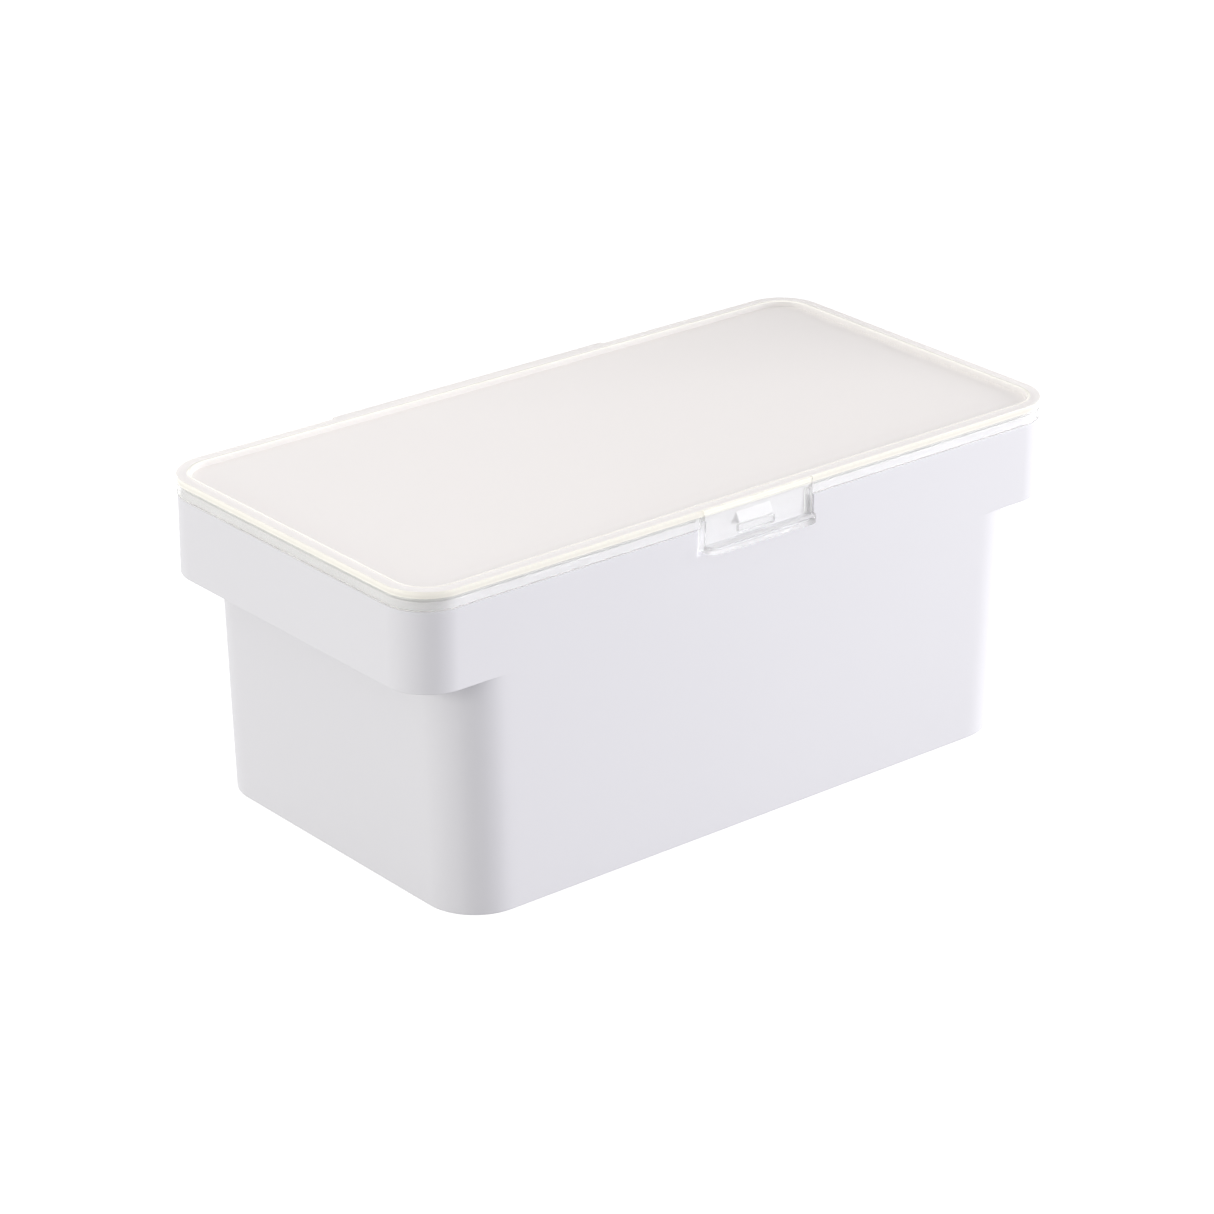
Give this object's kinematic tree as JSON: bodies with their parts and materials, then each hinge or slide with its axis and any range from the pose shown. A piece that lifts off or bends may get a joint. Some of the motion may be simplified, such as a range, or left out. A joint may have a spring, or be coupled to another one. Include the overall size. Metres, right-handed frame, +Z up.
{
  "type": "stackable storage bin",
  "caption": "White stackable storage bin with a collared tub and a clear hinged lid that snaps shut with a front finger tab.",
  "frame": {"origin": "centre of the foot panel, in the plane of the table", "axes": "+X along the bin's length, -Y towards the latch, +Y towards the hinge, +Z up"},
  "size_m": [0.32, 0.1748, 0.1376],
  "materials": {
    "white_plastic": "fine satin, opaque white moulded polypropylene",
    "clear_plastic": "frosted on top, clear in the skirt, the hinge and the tab",
    "seal": "milky soft silicone",
    "rod_metal": "drawn stainless wire"
  },
  "bodies": {
    "bin": {"bin_body": "white_plastic", "hinge_rod": "rod_metal"},
    "lid": {"lid": "clear_plastic", "lid_seal": "seal"},
    "latch": {"latch_tab": "clear_plastic"}
  },
  "joints": [
    {"name": "lid_hinge", "type": "hinge", "parent": "bin", "child": "lid", "pos_m": [-0.008, 0.0846, 0.125], "axis": [-1, 0, 0], "range_deg": [0, 110]},
    {"name": "latch_flex", "type": "hinge", "parent": "lid", "child": "latch", "pos_m": [0, -0.0822, 0.137], "axis": [-1, 0, 0], "range_deg": [0, 10], "stiffness_Nm_per_rad": 0.3}
  ]
}
